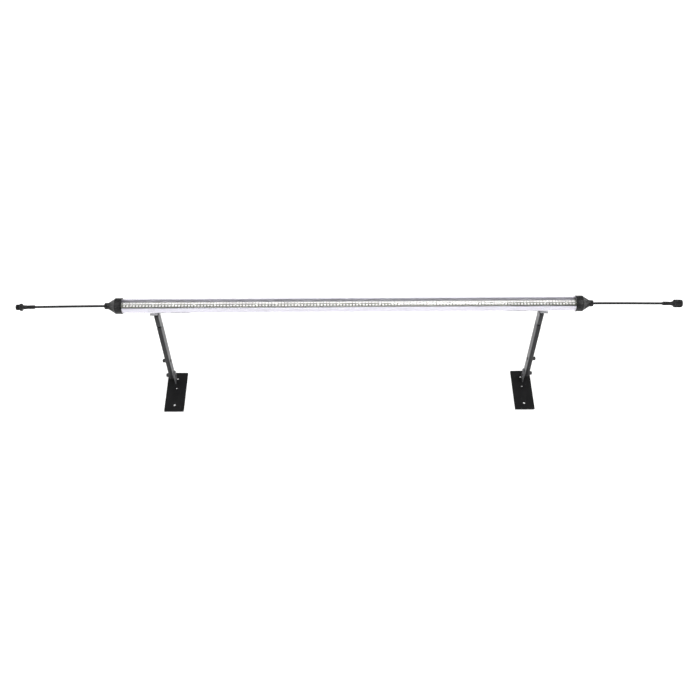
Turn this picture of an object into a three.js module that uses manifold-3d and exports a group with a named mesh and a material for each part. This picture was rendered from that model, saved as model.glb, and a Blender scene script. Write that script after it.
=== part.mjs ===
// Waterproof LED tube light for an aquarium or pond, on two folding, telescoping brackets.
//
// Millimetres, +Z up. X runs along the tube and +X ends in the female connector.
// The origin is on the surface that both base plates stand on, midway between them.

import * as THREE from "three";
import { mergeVertices } from "three/addons/utils/BufferGeometryUtils.js";
import Module from "manifold-3d";

const wasm = await Module();
wasm.setup();

// ---- Driving dimensions -------------------------------------------------------------

const GAP = 0.3; // between pieces that touch on the real object
const RIGHT = 1;
const LEFT = -1;

const PLATE = { length: 128, width: 53, thick: 3, centreX: 474, corner: 1.5 };
const PLATE_HOLES = [
  { y: 43.5, r: 3.3 },
  { y: 12, r: 2.4 },
  { y: -43.5, r: 3.3 },
];

const ARM_Y = 37.5; // centre plane of both arms, clips and the tube
const PIVOT_Z = 29; // the arm swings about this height
const CLAMP_Z = 95; // the height clamp's bolt at rest
const SHEET = 1.5; // wall of both arm channels
const LUG = { inner: 476.5, thick: 2.5, halfWidth: 12.5 };
const LOWER = { inner: LUG.inner + LUG.thick + GAP, depth: 11.3, halfWidth: 12.5, top: 250 };
// The upper arm is a slider inside the lower one, under a head with the lower one's section.
const SLIDER = {
  inner: LOWER.inner + SHEET + GAP,
  depth: LOWER.depth - SHEET - GAP,
  halfWidth: LOWER.halfWidth - SHEET - 0.35,
  bottom: 40,
};
const HEAD = { web: LOWER.top + 0.5, flanges: LOWER.top + 4.5, top: 296.5 };
const SLOT = { low: 48, high: 98, halfWidth: 2.8 };
const TAB = { top: 301.3, halfWidth: 12.5, outer: 500.5 };
const BOLT_R = 2.5;
const HOLE_R = BOLT_R + GAP;
const KNOB = { stemR: 4, gripR: 5.2, gripLong: 9, end: 501, lobes: 8, lobeDepth: 0.45 };

const TUBE = { r: 19, wall: 1.5, end: 580 };
const LAMP_Z = 323.5; // the tube's axis
const CLIP = { inner: TUBE.r + GAP, thick: 2, wide: 17, centreX: 491.8, openDeg: 35 };

// A half-round trough with a deck on two legs, which the LED board lies on.
const TRAY = { r: 17.1, wall: 1, rim: 7, deck: 9.2, legs: 7.2, top: 2.2, sheet: 1.4, end: 575.7 };
const BOARD = { halfWidth: 8.5, thick: 1.2, end: 572 };
const LED_ROW = { y: 4, halfWidth: 2.3, thick: 0.7, end: 568 };
const HOLDER = { inner: 576, thick: 4, r: TUBE.r - TUBE.wall - GAP };

const CAP = { rim: 565.5, shoulder: 583.5, coneEnd: 602, rimR: 20.5, bodyR: 20.2, neckR: 5.5 };
const GLAND = { start: CAP.coneEnd + GAP, end: 611, r: 8.2 };

const CORD = { r: 3, sides: 8 };
// The right cable's centreline, as [distance along the tube, height above its axis].
const CORD_ROUTE = [
  [606, 0],
  [611, 0],
  [618, -0.01],
  [628, -0.03],
  [640, -0.08],
  [652, -0.15],
  [665, -0.26],
  [678, -0.39],
  [691, -0.54],
  [704, -0.71],
  [718, -0.91],
  [732, -1.13],
  [746, -1.35],
  [760, -1.58],
  [773, -1.8],
  [785, -2],
  [790, -2.09],
];
const [PLUG_X, PLUG_DROP] = CORD_ROUTE.at(-2); // where the cable enters its connector
const PLUG_TILT = 0.0172; // the bent cable's slope there, in radians

// ---- Materials ----------------------------------------------------------------------

function paint(color, roughness, metalness = 0, opacity = 1) {
  const transparent = opacity < 1;
  return new THREE.MeshStandardMaterial({ color, roughness, metalness, opacity, transparent });
}

const MATERIALS = {
  plate: paint(0x26272a, 0.55, 0.3),
  lug: paint(0x5a5b5e, 0.5, 0.4),
  arm: paint(0x77787b, 0.45, 0.5),
  knob: paint(0x3c3d40, 0.5),
  steel: paint(0xa8aaad, 0.35, 0.9),
  clip: paint(0xe9eef2, 0.15, 0, 0.4),
  tube: paint(0xf4f7fa, 0.08, 0, 0.25),
  tray: paint(0x9c9d9f, 0.4, 0.8),
  board: paint(0xb4b6a8, 0.5),
  led: paint(0xfdfff0, 0.3),
  driver: paint(0x2c5a3c, 0.6),
  wire: paint(0x8c1f1c, 0.5),
  cap: paint(0x2b2b2d, 0.4),
  rubber: paint(0x1d1d1f, 0.8),
  brass: paint(0xc9a35a, 0.3, 0.9),
};

// ---- Shapes -------------------------------------------------------------------------

function solid(geometry) {
  // A manifold of a closed geometry, whichever way its faces point.
  const bare = geometry.clone();
  for (const name of ["normal", "uv"]) bare.deleteAttribute(name);
  const merged = mergeVertices(bare, 1e-5);
  const points = merged.attributes.position;
  const corners = Array.from(merged.index.array);
  if (signedVolume(points, corners) < 0) corners.reverse();
  return new wasm.Manifold(
    new wasm.Mesh({
      numProp: 3,
      vertProperties: new Float32Array(points.array),
      triVerts: new Uint32Array(corners),
    }),
  );
}

function signedVolume(points, corners) {
  const [a, b, c] = [new THREE.Vector3(), new THREE.Vector3(), new THREE.Vector3()];
  let sum = 0;
  for (let i = 0; i < corners.length; i += 3) {
    a.fromBufferAttribute(points, corners[i]);
    b.fromBufferAttribute(points, corners[i + 1]);
    c.fromBufferAttribute(points, corners[i + 2]);
    sum += a.dot(b.cross(c));
  }
  return sum / 6;
}

function geometryOf(manifold) {
  const mesh = manifold.getMesh();
  const geometry = new THREE.BufferGeometry();
  geometry.setAttribute("position", new THREE.BufferAttribute(mesh.vertProperties, 3));
  geometry.setIndex(new THREE.BufferAttribute(mesh.triVerts, 1));
  geometry.computeVertexNormals();
  return geometry;
}

function block(x0, x1, y0, y1, z0, z1) {
  const geometry = new THREE.BoxGeometry(x1 - x0, y1 - y0, z1 - z0);
  geometry.translate((x0 + x1) / 2, (y0 + y1) / 2, (z0 + z1) / 2);
  return solid(geometry);
}

function turned(profile, segments = 32) {
  // A solid of revolution about X. The profile is a list of [x, radius].
  const points = profile.map(([x, r]) => new THREE.Vector2(r, x));
  const geometry = new THREE.LatheGeometry(points, segments);
  geometry.rotateZ(-Math.PI / 2);
  return solid(geometry);
}

function rod(x0, x1, r, segments = 16) {
  return turned([[x0, 0], [x0, r], [x1, r], [x1, 0]], segments);
}

function ring(x0, x1, inner, outer, segments = 32) {
  return turned([[x0, inner], [x0, outer], [x1, outer], [x1, inner], [x0, inner]], segments);
}

function sideways(shape, x0, x1, curveSegments = 12) {
  // A shape drawn in the Y-Z plane, thickened along X.
  const geometry = new THREE.ExtrudeGeometry(shape, {
    depth: x1 - x0,
    bevelEnabled: false,
    curveSegments,
  });
  geometry.applyMatrix4(
    new THREE.Matrix4().makeBasis(
      new THREE.Vector3(0, 1, 0),
      new THREE.Vector3(0, 0, 1),
      new THREE.Vector3(1, 0, 0),
    ),
  );
  return solid(geometry.translate(x0, 0, 0));
}

function upright(shape, z0, z1, curveSegments = 12) {
  // A shape drawn in the X-Y plane, thickened along Z.
  const depth = z1 - z0;
  const geometry = new THREE.ExtrudeGeometry(shape, { depth, bevelEnabled: false, curveSegments });
  return solid(geometry.translate(0, 0, z0));
}

function drilled(body, ...cutters) {
  return cutters.reduce((left, cutter) => left.subtract(cutter), body);
}

function joined(...bodies) {
  return bodies.reduce((sum, body) => sum.add(body));
}

// ---- The assembly's groups ----------------------------------------------------------

const light = new THREE.Group();

function groupAt(x, y, z, side) {
  // Inside a group of the left side, +X still points outward.
  const group = new THREE.Group();
  group.position.set(x, y, z);
  group.rotation.z = side === RIGHT ? 0 : Math.PI;
  light.add(group);
  return group;
}

function place(group, name, material, body) {
  const mesh = new THREE.Mesh(geometryOf(body), MATERIALS[material]);
  mesh.name = name;
  group.add(mesh);
  return mesh;
}

// ---- Bracket ------------------------------------------------------------------------

function basePlate() {
  const [x, y, c] = [PLATE.width / 2, PLATE.length / 2, PLATE.corner];
  const outline = new THREE.Shape();
  outline.moveTo(-x + c, -y);
  outline.lineTo(x - c, -y).absarc(x - c, -y + c, c, -Math.PI / 2, 0);
  outline.lineTo(x, y - c).absarc(x - c, y - c, c, 0, Math.PI / 2);
  outline.lineTo(-x + c, y).absarc(-x + c, y - c, c, Math.PI / 2, Math.PI);
  outline.lineTo(-x, -y + c).absarc(-x + c, -y + c, c, Math.PI, 1.5 * Math.PI);
  for (const hole of PLATE_HOLES) {
    outline.holes.push(new THREE.Path().absarc(0, hole.y, hole.r, 0, 2 * Math.PI, true));
  }
  return upright(outline, 0, PLATE.thick, 5);
}

function roundEnded(halfWidth, foot, centre) {
  // An upright strip in Y-Z with a flat foot and a round top about centre.
  const outline = new THREE.Shape();
  outline.moveTo(-halfWidth, foot).lineTo(halfWidth, foot).lineTo(halfWidth, centre);
  outline.absarc(0, centre, halfWidth, 0, Math.PI);
  return outline;
}

function crossRod(x0, x1, z, r) {
  return rod(x0, x1, r).translate([0, 0, z]);
}

function pivotLug() {
  const foot = PLATE.thick + GAP;
  const body = sideways(
    roundEnded(LUG.halfWidth, foot, PIVOT_Z),
    LUG.inner,
    LUG.inner + LUG.thick,
  );
  return drilled(body, crossRod(LUG.inner - 1, LUG.inner + LUG.thick + 1, PIVOT_Z, HOLE_R));
}

function channel(spec, bottom, top) {
  // A channel that is open on its outer side, between two heights.
  const [inner, outer, half] = [spec.inner, spec.inner + spec.depth, spec.halfWidth];
  return drilled(
    block(inner, outer, -half, half, bottom, top),
    block(inner + SHEET, outer + 1, -half + SHEET, half - SHEET, bottom - 1, top + 1),
  );
}

function lowerArm() {
  const web = new THREE.Shape();
  web.moveTo(LOWER.halfWidth, PIVOT_Z + 1).lineTo(-LOWER.halfWidth, PIVOT_Z + 1);
  web.lineTo(-LOWER.halfWidth, PIVOT_Z);
  web.absarc(0, PIVOT_Z, LOWER.halfWidth, Math.PI, 2 * Math.PI);
  const [near, far] = [LOWER.inner - 1, LOWER.inner + SHEET + 1];
  return drilled(
    joined(
      channel(LOWER, PIVOT_Z, LOWER.top),
      sideways(web, LOWER.inner, LOWER.inner + SHEET),
    ),
    crossRod(near, far, PIVOT_Z, HOLE_R),
    crossRod(near, far, CLAMP_Z, HOLE_R),
  );
}

function upperArm() {
  const [inner, wide, half] = [LOWER.inner, TAB.halfWidth, LOWER.halfWidth];
  const under = TAB.top - SHEET;
  const slot = new THREE.Shape();
  slot.moveTo(SLOT.halfWidth, SLOT.low + SLOT.halfWidth);
  slot.lineTo(SLOT.halfWidth, SLOT.high - SLOT.halfWidth);
  slot.absarc(0, SLOT.high - SLOT.halfWidth, SLOT.halfWidth, 0, Math.PI);
  slot.absarc(0, SLOT.low + SLOT.halfWidth, SLOT.halfWidth, Math.PI, 2 * Math.PI);
  return drilled(
    joined(
      channel(SLIDER, SLIDER.bottom, HEAD.top),
      channel(LOWER, HEAD.flanges, HEAD.top),
      block(inner, inner + 2 * SHEET, -half, half, HEAD.web, HEAD.top),
      ...[-1, 1].map((way) => {
        const [a, b] = [way * half, way * (half - 2 * SHEET)];
        const end = inner + LOWER.depth;
        return block(inner, end, Math.min(a, b), Math.max(a, b), HEAD.flanges, HEAD.top);
      }),
      block(inner, inner + SHEET, -wide, wide, HEAD.top - 1, TAB.top),
      block(inner, TAB.outer, -wide, wide, under, TAB.top),
    ),
    sideways(slot, SLIDER.inner - 1, SLIDER.inner + SHEET + 1, 6),
    standing(under - 1, TAB.top + 1, 2.3).translate([CLIP.centreX, 0, 0]),
  );
}

function standing(z0, z1, r, segments = 16) {
  return rod(z0, z1, r, segments).rotate([0, -90, 0]);
}

function knobGrip(x0, x1) {
  const outline = new THREE.Shape();
  const steps = KNOB.lobes * 4;
  for (let i = 0; i < steps; i += 1) {
    const turn = (2 * Math.PI * i) / steps;
    const r = KNOB.gripR - KNOB.lobeDepth * (1 - Math.cos(KNOB.lobes * turn));
    const [y, z] = [r * Math.cos(turn), r * Math.sin(turn)];
    if (i === 0) outline.moveTo(y, z);
    else outline.lineTo(y, z);
  }
  return sideways(outline, x0, x1);
}

function thumbKnob(start) {
  // Threaded onto the bolt from outside, with a blind bore.
  const grip = KNOB.end - KNOB.gripLong;
  return drilled(
    joined(rod(start, grip + 1, KNOB.stemR, 16), knobGrip(grip, KNOB.end - 0.8)),
    rod(start - 1, KNOB.end - 4, HOLE_R),
  ).add(rod(KNOB.end - 3, KNOB.end, KNOB.gripR - 1.6, 16));
}

function bolt(headStart, headLong, headR, end) {
  const head = headStart + headLong;
  return turned(
    [
      [headStart, 0],
      [headStart, headR - 1],
      [headStart + 1, headR],
      [head, headR],
      [head, BOLT_R],
      [end, BOLT_R],
      [end, 0],
    ],
    16,
  );
}

function tubeClip() {
  // A snap ring with its mouth up, on a flat pad. Y-Z about the tube's axis.
  const outer = CLIP.inner + CLIP.thick;
  const tip = THREE.MathUtils.degToRad(CLIP.openDeg);
  const outline = new THREE.Shape();
  outline.absarc(0, 0, outer, tip, Math.PI - tip, true);
  outline.absarc(0, 0, CLIP.inner, Math.PI - tip, tip, false);
  const half = CLIP.wide / 2;
  const [padTop, padFoot] = [-CLIP.inner + 2.2, TAB.top + GAP - LAMP_Z];
  const pad = drilled(
    block(-half, half, -9, 9, padFoot, padTop),
    rod(-half - 1, half + 1, CLIP.inner, 48),
  );
  const sink = turned([[0, 0], [0, 2.3], [1.2, 2.3], [2.8, 3.9], [4, 3.9], [4, 0]], 16)
    .rotate([0, -90, 0])
    .translate([0, 0, padFoot - 0.2]);
  return drilled(joined(sideways(outline, -half, half, 24), pad), sink);
}

function clipScrew() {
  // Countersunk, head up, under the tube. Heights are on the part's own Z.
  const top = TAB.top + GAP + 2.3;
  const profile = [[293.6, 0], [293.6, 2], [top - 1.5, 2], [top, 3.4], [top, 0]];
  return turned(profile, 16).rotate([0, -90, 0]);
}

function clipNut() {
  const hex = turned([[0, 0], [0, 4], [3, 4], [3, 0]], 6).rotate([0, -90, 0]);
  const top = TAB.top - SHEET - GAP;
  return drilled(hex.translate([0, 0, top - 3]), standing(top - 4, top + 1, 2.3));
}

function makeBracket(side, label) {
  const plate = new THREE.Group();
  plate.position.set(side * PLATE.centreX, 0, 0);
  light.add(plate);
  place(plate, `base_plate_${label}`, "plate", basePlate());

  const arm = groupAt(0, ARM_Y, 0, side);
  place(arm, `pivot_lug_${label}`, "lug", pivotLug());
  place(arm, `lower_arm_${label}`, "arm", lowerArm());
  place(arm, `upper_arm_${label}`, "arm", upperArm());

  const pivot = groupAt(0, ARM_Y, PIVOT_Z, side);
  const lowerFace = LOWER.inner + SHEET + GAP;
  place(pivot, `pivot_bolt_${label}`, "steel", bolt(LUG.inner - GAP - 2.8, 2.8, 4.4, 496));
  place(pivot, `pivot_washer_${label}`, "steel", ring(lowerFace, lowerFace + 1, HOLE_R, 6, 16));
  place(pivot, `pivot_knob_${label}`, "knob", thumbKnob(lowerFace + 1 + GAP));

  const clamp = groupAt(0, ARM_Y, CLAMP_Z, side);
  const upperFace = SLIDER.inner + SHEET + GAP;
  place(clamp, `clamp_bolt_${label}`, "steel", bolt(LOWER.inner - GAP - 2.2, 2.2, 4.4, 496));
  place(clamp, `clamp_washer_${label}`, "steel", ring(upperFace, upperFace + 1, HOLE_R, 6, 16));
  place(clamp, `clamp_knob_${label}`, "knob", thumbKnob(upperFace + 1 + GAP));

  const clip = groupAt(side * CLIP.centreX, ARM_Y, LAMP_Z, side);
  place(clip, `tube_clip_${label}`, "clip", tubeClip());
  const screw = groupAt(side * CLIP.centreX, ARM_Y, 0, side);
  place(screw, `clip_screw_${label}`, "steel", clipScrew());
  place(screw, `clip_nut_${label}`, "steel", clipNut());
}

// ---- Lamp ---------------------------------------------------------------------------

function heatSinkTray() {
  const inner = TRAY.r - TRAY.wall;
  const outerEnd = Math.asin(TRAY.rim / TRAY.r);
  const innerEnd = Math.asin(TRAY.rim / inner);
  const trough = new THREE.Shape();
  trough.absarc(0, 0, TRAY.r, outerEnd, Math.PI - outerEnd, true);
  trough.absarc(0, 0, inner, Math.PI - innerEnd, innerEnd, false);
  const [end, deck, leg] = [TRAY.end, TRAY.deck, TRAY.wall / 2];
  return joined(
    sideways(trough, -end, end, 20),
    block(-end, end, -deck, deck, TRAY.top - TRAY.sheet, TRAY.top),
    ...[-TRAY.legs, TRAY.legs].map((y) => block(-end, end, y - leg, y + leg, -15, TRAY.top - 1)),
  );
}

function driverModule() {
  const top = TRAY.top - TRAY.sheet - GAP;
  return joined(
    block(-520, -410, -6.2, 6.2, top - 2, top),
    block(-514, -478, -5.6, 5.6, top - 10, top - 1),
    rod(-470, -448, 4.5, 16).translate([0, 0, top - 6]),
    block(-440, -416, -5, 5, top - 8, top - 1),
  );
}

function makeLamp() {
  const lamp = groupAt(0, ARM_Y, LAMP_Z, RIGHT);
  place(lamp, "clear_tube", "tube", ring(-TUBE.end, TUBE.end, TUBE.r - TUBE.wall, TUBE.r, 48));
  place(lamp, "heat_sink_tray", "tray", heatSinkTray());

  const boardFoot = TRAY.top + GAP;
  const boardTop = boardFoot + BOARD.thick;
  const board = block(
    -BOARD.end, BOARD.end, -BOARD.halfWidth, BOARD.halfWidth, boardFoot, boardTop,
  );
  place(lamp, "led_board", "board", board);
  for (const [name, y] of [["led_row_front", -LED_ROW.y], ["led_row_back", LED_ROW.y]]) {
    const [near, far, foot] = [y - LED_ROW.halfWidth, y + LED_ROW.halfWidth, boardTop + GAP];
    const row = block(-LED_ROW.end, LED_ROW.end, near, far, foot, foot + LED_ROW.thick);
    place(lamp, name, "led", row);
  }
  place(lamp, "driver_module", "driver", driverModule());
  for (const [name, y] of [["through_wire_front", -3.5], ["through_wire_back", 3.5]]) {
    place(lamp, name, "wire", rod(-574, 574, 1.1, 10).translate([0, y, -12]));
  }
}

function endCap() {
  const boreR = TUBE.r + 0.2;
  const boreEnd = TUBE.end + 2.4;
  return turned(
    [
      [CAP.rim, boreR],
      [CAP.rim, CAP.rimR],
      [CAP.rim + 3.5, CAP.rimR],
      [CAP.rim + 4.5, CAP.bodyR],
      [CAP.shoulder - 1, CAP.bodyR],
      [CAP.shoulder, CAP.bodyR - 0.6],
      [CAP.coneEnd, GLAND.r],
      [CAP.coneEnd, CAP.neckR],
      [CAP.coneEnd + 6, CAP.neckR],
      [CAP.coneEnd + 6, CORD.r + GAP],
      [CAP.coneEnd - 4, CORD.r + GAP],
      [boreEnd, 14],
      [boreEnd, boreR],
      [CAP.rim, boreR],
    ],
    32,
  );
}

function glandNut() {
  const neckR = CAP.neckR + GAP;
  const inside = CAP.coneEnd + 6 + GAP;
  return turned(
    [
      [GLAND.start, neckR],
      [GLAND.start, GLAND.r],
      [GLAND.end - 1, GLAND.r],
      [GLAND.end, GLAND.r - 1],
      [GLAND.end, CORD.r + GAP],
      [inside, CORD.r + GAP],
      [inside, neckR],
      [GLAND.start, neckR],
    ],
    24,
  );
}

function makeEnd(side, label) {
  const end = groupAt(0, ARM_Y, LAMP_Z, side);
  place(end, `tray_holder_${label}`, "cap", ring(576, 580, 4, HOLDER.r, 24));
  place(end, `cap_gasket_${label}`, "rubber", ring(580.4, 582, 16.5, TUBE.r - 0.1));
  place(end, `end_cap_${label}`, "cap", endCap());
  place(end, `gland_nut_${label}`, "cap", glandNut());
  place(end, `cable_${label}`, "rubber", cable());
}

// ---- Cables -------------------------------------------------------------------------

function cable() {
  const points = CORD_ROUTE.map(([x, z]) => new THREE.Vector3(x, 0, z));
  const section = new THREE.Shape();
  for (let i = 0; i < CORD.sides; i += 1) {
    const turn = (2 * Math.PI * i) / CORD.sides;
    const [a, b] = [CORD.r * Math.cos(turn), CORD.r * Math.sin(turn)];
    if (i === 0) section.moveTo(a, b);
    else section.lineTo(a, b);
  }
  const geometry = new THREE.ExtrudeGeometry(section, {
    steps: points.length - 1,
    extrudePath: new THREE.CatmullRomCurve3(points),
  });
  return solid(geometry);
}

function connectorGroup(side) {
  // Its own origin is where the cable enters, on the bent cable's axis.
  const outer = groupAt(side * PLUG_X, ARM_Y, LAMP_Z + PLUG_DROP, side);
  const tilted = new THREE.Group();
  tilted.rotation.y = PLUG_TILT;
  outer.add(tilted);
  return tilted;
}

function makeMalePlug() {
  const plug = connectorGroup(LEFT);
  const boreR = CORD.r + GAP;
  const shell = turned(
    [
      [0, boreR],
      [0, 4.2],
      [1.5, 5.2],
      [14, 4.9],
      [22, 5.4],
      [31, 5.4],
      [31, 9.4],
      [37, 9.4],
      [37, 7.3],
      [47, 7.3],
      [47, 5.3],
      [38, 5.3],
      [38, boreR],
      [0, boreR],
    ],
    20,
  );
  place(plug, "male_plug_shell", "cap", shell);
  place(plug, "male_pin_insert", "rubber", rod(38.3, 41, 5, 24));
  const pinAt = (y) => rod(41.3, 46.5, 0.8, 10).translate([0, y, 0]);
  place(plug, "male_pin_front", "brass", pinAt(-2));
  place(plug, "male_pin_back", "brass", pinAt(2));
}

function couplingNut() {
  const outline = new THREE.Shape();
  const steps = 36;
  for (let i = 0; i < steps; i += 1) {
    const turn = (2 * Math.PI * i) / steps;
    const r = 10 - (i % 3 === 0 ? 0.5 : 0);
    if (i === 0) outline.moveTo(r * Math.cos(turn), r * Math.sin(turn));
    else outline.lineTo(r * Math.cos(turn), r * Math.sin(turn));
  }
  const ribbed = sideways(outline, 28.5, 47.5);
  const collar = turned([[26, 0], [26, 7.6], [28.5, 9.7], [30, 9.7], [30, 0]], 24);
  const rim = rod(46, 49, 9.4, 24);
  return drilled(
    joined(ribbed, collar, rim),
    rod(25, 31.5, 5.8, 24),
    rod(31, 50, 7.9, 24),
  );
}

function makeFemaleSocket() {
  const socket = connectorGroup(RIGHT);
  const boreR = CORD.r + GAP;
  const shell = turned(
    [
      [0, boreR],
      [0, 4.2],
      [1.5, 5.2],
      [14, 4.8],
      [24, 5.4],
      [32, 5.4],
      [32, 7.4],
      [34, 7.4],
      [34, 5.6],
      [36, 5.6],
      [36, boreR],
      [0, boreR],
    ],
    20,
  );
  place(socket, "female_socket_shell", "cap", shell);
  const insert = drilled(
    rod(36.3, 42, 5, 24),
    ...[-2, 2].map((y) => rod(38, 43, 1, 10).translate([0, y, 0])),
  );
  place(socket, "female_pin_insert", "rubber", insert);
  place(socket, "socket_seal", "rubber", ring(34.3, 35.9, 5.9, 7.4, 24));
  place(socket, "coupling_nut", "cap", couplingNut());
}

// ---- Everything ---------------------------------------------------------------------

for (const [side, label] of [[LEFT, "left"], [RIGHT, "right"]]) {
  makeBracket(side, label);
  makeEnd(side, label);
}
makeLamp();
makeMalePlug();
makeFemaleSocket();

export default light;
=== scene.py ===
"""The looks of a waterproof LED aquarium light on two folding, telescoping brackets.

Lengths are in millimetres until a piece is placed, and every place comes from the frame.
"""

import math

import bmesh
import bpy
from mathutils import Matrix, Vector


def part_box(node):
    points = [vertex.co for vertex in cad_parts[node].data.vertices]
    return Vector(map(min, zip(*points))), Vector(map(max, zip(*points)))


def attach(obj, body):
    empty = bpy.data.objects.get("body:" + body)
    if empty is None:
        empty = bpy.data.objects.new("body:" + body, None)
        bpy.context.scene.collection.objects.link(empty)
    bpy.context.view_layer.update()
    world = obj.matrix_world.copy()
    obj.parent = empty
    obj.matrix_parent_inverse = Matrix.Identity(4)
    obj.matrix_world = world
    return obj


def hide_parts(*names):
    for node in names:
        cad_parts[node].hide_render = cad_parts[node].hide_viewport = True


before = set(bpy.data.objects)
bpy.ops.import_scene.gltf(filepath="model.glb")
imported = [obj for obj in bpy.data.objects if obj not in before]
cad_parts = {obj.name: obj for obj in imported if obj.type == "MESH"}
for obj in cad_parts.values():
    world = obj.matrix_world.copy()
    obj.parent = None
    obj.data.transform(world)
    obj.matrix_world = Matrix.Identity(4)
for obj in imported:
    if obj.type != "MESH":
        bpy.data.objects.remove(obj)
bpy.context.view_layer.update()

MM = 0.001
GAP = 0.3  # between the frame's pieces, where the real ones touch
SHEET = 1.5  # wall of the folded channels
SIDES = (("left", -1), ("right", 1))


# ---- Places, from the frame ---------------------------------------------------------


def middle(node):
    """The centre of a CAD node's box, in millimetres."""
    low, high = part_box(node)
    return (low + high) / 2 / MM


def span(node, axis):
    """A CAD node's lowest and highest distance from the origin's plane, in millimetres."""
    low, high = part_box(node)
    return sorted((abs(low[axis]) / MM, abs(high[axis]) / MM))


ARM_Y = middle("lower_arm_right").y
PIVOT_Z = middle("pivot_washer_right").z
CLAMP_Z = middle("clamp_washer_right").z
LAMP_Z = middle("clear_tube").z
TUBE_R = (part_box("clear_tube")[1].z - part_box("clear_tube")[0].z) / MM / 2
TUBE_WALL = 1.5
CORD_R = 3
LED_PITCH = 8.07  # from the period of the rows in the photograph
LED_COUNT = 140  # in each row
LED_HALF_LONG = {"front": 2.5, "back": 3.6}
# The right cable's centreline, as [distance along the tube, height above its axis].
CORD_ROUTE = [
    [606, 0],
    [611, 0],
    [618, -0.01],
    [628, -0.03],
    [640, -0.08],
    [652, -0.15],
    [665, -0.26],
    [678, -0.39],
    [691, -0.54],
    [704, -0.71],
    [718, -0.91],
    [732, -1.13],
    [746, -1.35],
    [760, -1.58],
    [773, -1.8],
    [785, -2],
    [790, -2.09],
]
PLUG_X, PLUG_DROP = CORD_ROUTE[-2]
PLUG_TILT = 0.0172


def at(x, y, z, side=1):
    """A place in the row frame. On the left side, local +X still points outward."""
    turn = Matrix.Rotation(0 if side > 0 else math.pi, 4, "Z")
    return Matrix.Translation(Vector((x, y, z)) * MM) @ turn @ Matrix.Scale(MM, 4)


def arm_place(side, z=0):
    return at(0, ARM_Y, z, side)


def lamp_place(side=1):
    return at(0, ARM_Y, LAMP_Z, side)


def plug_place(side):
    """Where the cable enters its connector, on the bent cable's axis."""
    place = at(side * PLUG_X, ARM_Y, LAMP_Z + PLUG_DROP, side)
    return place @ Matrix.Rotation(PLUG_TILT, 4, "Y")


# ---- Meshes -------------------------------------------------------------------------


def add_mesh(name, bm, place):
    """A Blender object from a bmesh, its vertices moved to their place."""
    bmesh.ops.remove_doubles(bm, verts=bm.verts, dist=1e-5)
    bmesh.ops.recalc_face_normals(bm, faces=bm.faces)
    bm.transform(place)
    mesh = bpy.data.meshes.new(name)
    bm.to_mesh(mesh)
    bm.free()
    piece = bpy.data.objects.new(name, mesh)
    bpy.context.scene.collection.objects.link(piece)
    return piece


def skin(bm, rings, closed_loop):
    """Quads between neighbouring rings; a ring of one vertex is a pole."""
    pairs = list(zip(rings, rings[1:]))
    if closed_loop:
        pairs.append((rings[-1], rings[0]))
    for a, b in pairs:
        count = max(len(a), len(b))
        for i in range(count):
            j = (i + 1) % count
            corners = [a[i % len(a)], a[j % len(a)], b[j % len(b)], b[i % len(b)]]
            unique = list(dict.fromkeys(corners))
            if len(unique) > 2:
                bm.faces.new(unique)


def spun(name, profile, place, segments=96, lobes=0):
    """A solid of revolution about X from [x, radius] or [x, radius, lobe depth] points.
    A profile that doesn't touch the axis closes on itself."""
    bm = bmesh.new()
    rings = []
    for x, r, *depth in profile:
        if r == 0:
            rings.append([bm.verts.new((x, 0, 0))])
            continue
        ring = []
        for i in range(segments):
            turn = 2 * math.pi * i / segments
            dent = depth[0] * (0.5 - 0.5 * math.cos(lobes * turn)) if depth else 0
            around = r - dent
            ring.append(bm.verts.new((x, around * math.cos(turn), around * math.sin(turn))))
        rings.append(ring)
    skin(bm, rings, closed_loop=profile[0][1] != 0)
    return add_mesh(name, bm, place)


def prism(name, outline, near, far, place, axis="X"):
    """An outline thickened along an axis. It is drawn in Y-Z, X-Z or X-Y."""
    lift = {
        "X": lambda a, b, c: (c, a, b),
        "Y": lambda a, b, c: (a, c, b),
        "Z": lambda a, b, c: (a, b, c),
    }[axis]
    bm = bmesh.new()
    rings = [[bm.verts.new(lift(a, b, c)) for a, b in outline] for c in (near, far)]
    skin(bm, rings, closed_loop=False)
    for ring in rings:
        bm.faces.new(ring)
    return add_mesh(name, bm, place)


def applied(piece):
    """The piece with its modifiers made real."""
    made = piece.evaluated_get(bpy.context.evaluated_depsgraph_get())
    mesh = bpy.data.meshes.new_from_object(made)
    piece.modifiers.clear()
    piece.data = mesh
    return piece


def combined(piece, others, operation):
    """A boolean of the piece with others, which are used up."""
    for other in others:
        modifier = piece.modifiers.new(operation, "BOOLEAN")
        modifier.operation, modifier.solver, modifier.object = operation, "EXACT", other
    bpy.context.view_layer.update()
    applied(piece)
    for other in others:
        bpy.data.objects.remove(other)
    return piece


def drilled(piece, *cutters):
    return combined(piece, cutters, "DIFFERENCE")


def fused(piece, *others):
    return combined(piece, others, "UNION")


def eased(piece, width, segments=3, angle=32):
    """Small round edges, so that they catch the light."""
    modifier = piece.modifiers.new("eased", "BEVEL")
    modifier.width, modifier.segments = width * MM, segments
    modifier.limit_method, modifier.angle_limit = "ANGLE", math.radians(angle)
    modifier.miter_outer = "MITER_ARC"
    modifier.use_clamp_overlap = True
    return applied(piece)


def smoothed(piece, angle=38):
    piece.data.shade_smooth()
    piece.data.set_sharp_from_angle(angle=math.radians(angle))
    return piece


def arc(cx, cy, r, start, end, steps):
    """Points of an arc, its angles in degrees."""
    turns = [math.radians(start + (end - start) * i / steps) for i in range(steps + 1)]
    return [(cx + r * math.cos(t), cy + r * math.sin(t)) for t in turns]


def fitted(piece, body, slot, material, *nodes):
    """Puts a finished piece on its body, with its material, in place of CAD nodes."""
    piece.data.materials.clear()
    for one in material if isinstance(material, list) else [material]:
        piece.data.materials.append(one)
    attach(piece, body)
    if nodes:
        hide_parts(*nodes)
    return piece


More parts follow.
